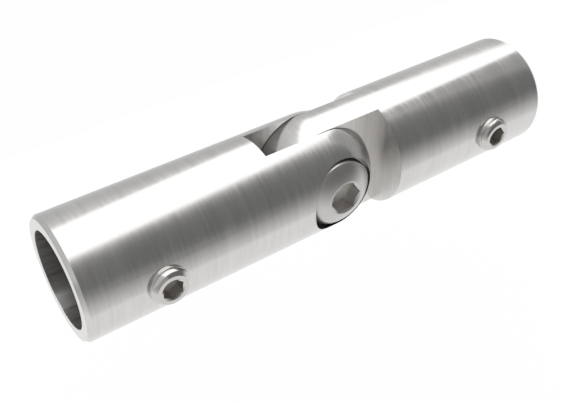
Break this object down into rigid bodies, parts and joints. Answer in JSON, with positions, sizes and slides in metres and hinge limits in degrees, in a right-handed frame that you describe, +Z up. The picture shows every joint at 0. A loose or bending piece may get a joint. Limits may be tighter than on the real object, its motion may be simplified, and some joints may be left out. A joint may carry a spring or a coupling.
{
  "type": "adjustable rod joint",
  "caption": "Inline joint that links round bars at an adjustable angle: a ball-ended fork socket and a tongue socket hinged on a button-head screw, with set screws that grip the bars.",
  "frame": {"origin": "centre of the fork half's mouth, on the bar line", "axes": "+X along the bar line from the fork half's mouth to the tongue half's mouth, +Y along the hinge line away from the screw heads, +Z up"},
  "size_m": [0.0725, 0.0172, 0.016],
  "materials": {
    "body_steel": "satin brushed stainless steel, brushed round the bar",
    "hinge_screw_steel": "smooth bright stainless steel",
    "set_screw_steel": "bright rolled stainless steel thread"
  },
  "bodies": {
    "fork_half": {"fork_half": "body_steel"},
    "tongue_half": {"tongue_half": "body_steel"},
    "hinge_screw": {"hinge_screw": "hinge_screw_steel"},
    "fork_set_screw": {"fork_set_screw": "set_screw_steel"},
    "tongue_set_screw": {"tongue_set_screw": "set_screw_steel"}
  },
  "joints": [
    {"name": "tongue_swing", "type": "hinge", "parent": "fork_half", "child": "tongue_half", "pos_m": [0.03625, 0, 0], "axis": [0, 1, 0], "range_deg": [-90, 90]},
    {"name": "hinge_screw_turn", "type": "hinge", "parent": "fork_half", "child": "hinge_screw", "pos_m": [0.03625, 0, 0], "axis": [0, -1, 0], "range_deg": [0, 180]},
    {"name": "fork_set_screw_travel", "type": "slide", "parent": "fork_half", "child": "fork_set_screw", "axis": [0, 1, 0], "range_m": [-0.0008, 0.00115]},
    {"name": "tongue_set_screw_travel", "type": "slide", "parent": "tongue_half", "child": "tongue_set_screw", "axis": [0, 1, 0], "range_m": [-0.0008, 0.00115]}
  ]
}
